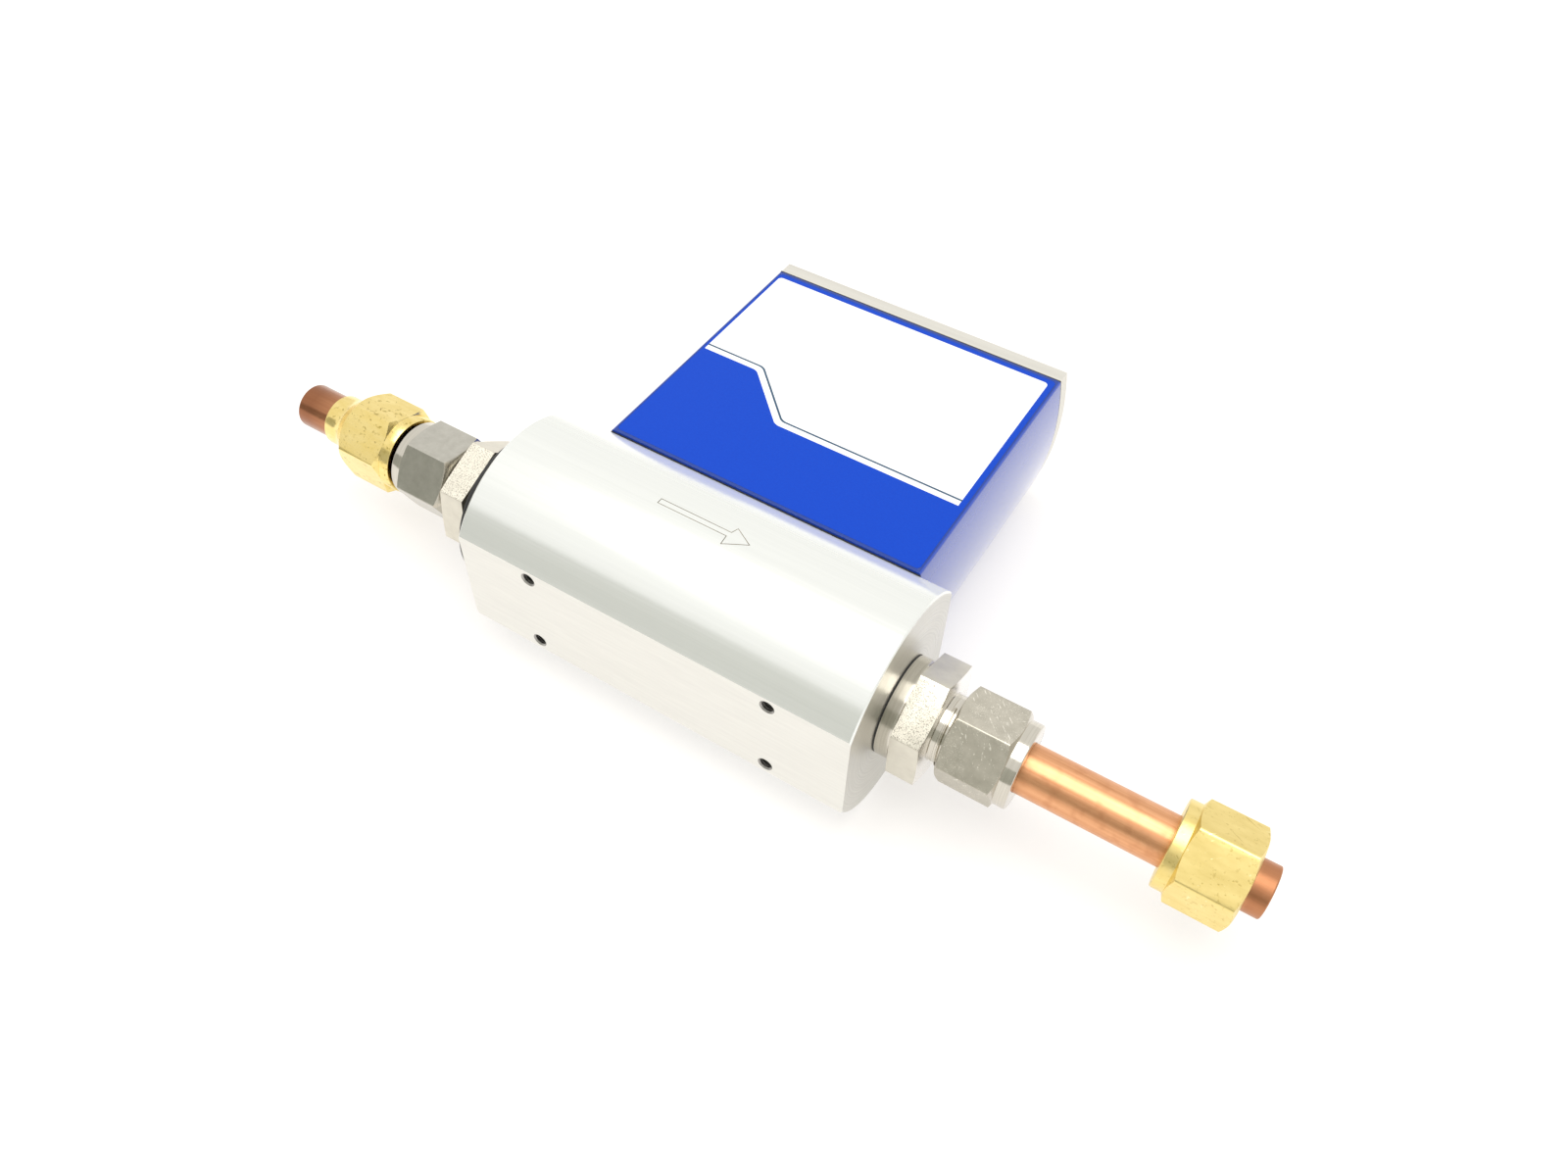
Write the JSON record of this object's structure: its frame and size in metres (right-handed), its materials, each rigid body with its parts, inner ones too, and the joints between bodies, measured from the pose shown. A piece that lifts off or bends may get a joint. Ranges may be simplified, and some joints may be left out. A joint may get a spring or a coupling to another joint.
{
  "type": "thermal mass flow meter",
  "caption": "Inline thermal mass flow meter: round-flanked aluminium flow body, blue electronics housing, steel compression fittings, copper tube ends with loose brass nuts.",
  "frame": {"origin": "middle of the four mounting holes, on the flow body's flat mounting face", "axes": "+X runs with the flow from inlet to outlet, +Y from the mounting face towards the housing's top cover, +Z out of the housing's printed front; the meter is stored lying on its back"},
  "size_m": [0.2831, 0.1481, 0.0588],
  "materials": {
    "block_aluminium": "satin, finely turned",
    "fitting_steel": "machined stainless steel",
    "adapter_black": "black anodised, turned",
    "screen_steel": "punched stainless sheet",
    "sensor_steel": "polished stainless steel",
    "nut_brass": "machined brass with wrench marks",
    "tube_copper": "drawn copper",
    "seal_rubber": "black elastomer",
    "housing_blue": "semi gloss blue",
    "foil": "printed foil, white field over blue",
    "cover_metal": "fine blasted",
    "screw_steel": "plated",
    "board_green": "solder resist",
    "chip_black": "moulded",
    "capacitor_can": "sleeved can",
    "contact_gold": "gold plated",
    "connector_nickel": "nickel plated",
    "insert_black": "moulded",
    "light_clear": "clear light guide"
  },
  "bodies": {
    "meter": {"flow_body": "block_aluminium", "inlet_screens": "screen_steel", "screen_spacers": "screen_steel", "inlet_adapter": "adapter_black", "inlet_seal": "seal_rubber", "inlet_fitting": "fitting_steel", "inlet_front_ferrule": "fitting_steel", "inlet_back_ferrule": "fitting_steel", "inlet_nut": "fitting_steel", "inlet_tube": "tube_copper", "outlet_seal": "seal_rubber", "outlet_fitting": "fitting_steel", "outlet_front_ferrule": "fitting_steel", "outlet_back_ferrule": "fitting_steel", "outlet_nut": "fitting_steel", "outlet_tube": "tube_copper", "sensor_plug": "sensor_steel", "sensor_seal": "seal_rubber", "heater_probe": "sensor_steel", "temperature_probe": "sensor_steel", "sensor_leads": "contact_gold", "base_gasket": "seal_rubber", "base_plate": "cover_metal", "base_screws": "screw_steel", "housing_shell": "housing_blue", "front_foil": "foil", "cover_gasket": "seal_rubber", "top_cover": "cover_metal", "cover_screws": "screw_steel", "main_board": "board_green", "processor_chips": "chip_black", "capacitors": "capacitor_can", "button_switch": "chip_black", "connector_shell": "connector_nickel", "connector_insert": "insert_black", "connector_pins": "contact_gold", "connector_lock_nut": "connector_nickel", "status_lights": "light_clear"},
    "loose_ferrules": {"loose_front_ferrule": "nut_brass", "loose_back_ferrule": "nut_brass"},
    "outlet_brass_nut": {"outlet_brass_nut": "nut_brass"},
    "inlet_flare_nut": {"inlet_flare_nut": "nut_brass"},
    "push_button": {"push_button": "insert_black"}
  },
  "joints": [
    {"name": "outlet_nut_slide", "type": "slide", "parent": "meter", "child": "loose_ferrules", "axis": [1, 0, 0], "range_m": [-0.0346, 0.0049]},
    {"name": "outlet_nut_spin", "type": "hinge", "parent": "loose_ferrules", "child": "outlet_brass_nut", "pos_m": [0.1331, 0.0253, 0], "axis": [1, 0, 0], "continuous": true},
    {"name": "inlet_nut_slide", "type": "slide", "parent": "meter", "child": "inlet_flare_nut", "axis": [1, 0, 0], "range_m": [-0.018, 0.0009]},
    {"name": "button_press", "type": "slide", "parent": "meter", "child": "push_button", "axis": [0, -1, 0], "range_m": [0, 0.0005], "stiffness_N_per_m": 400}
  ]
}
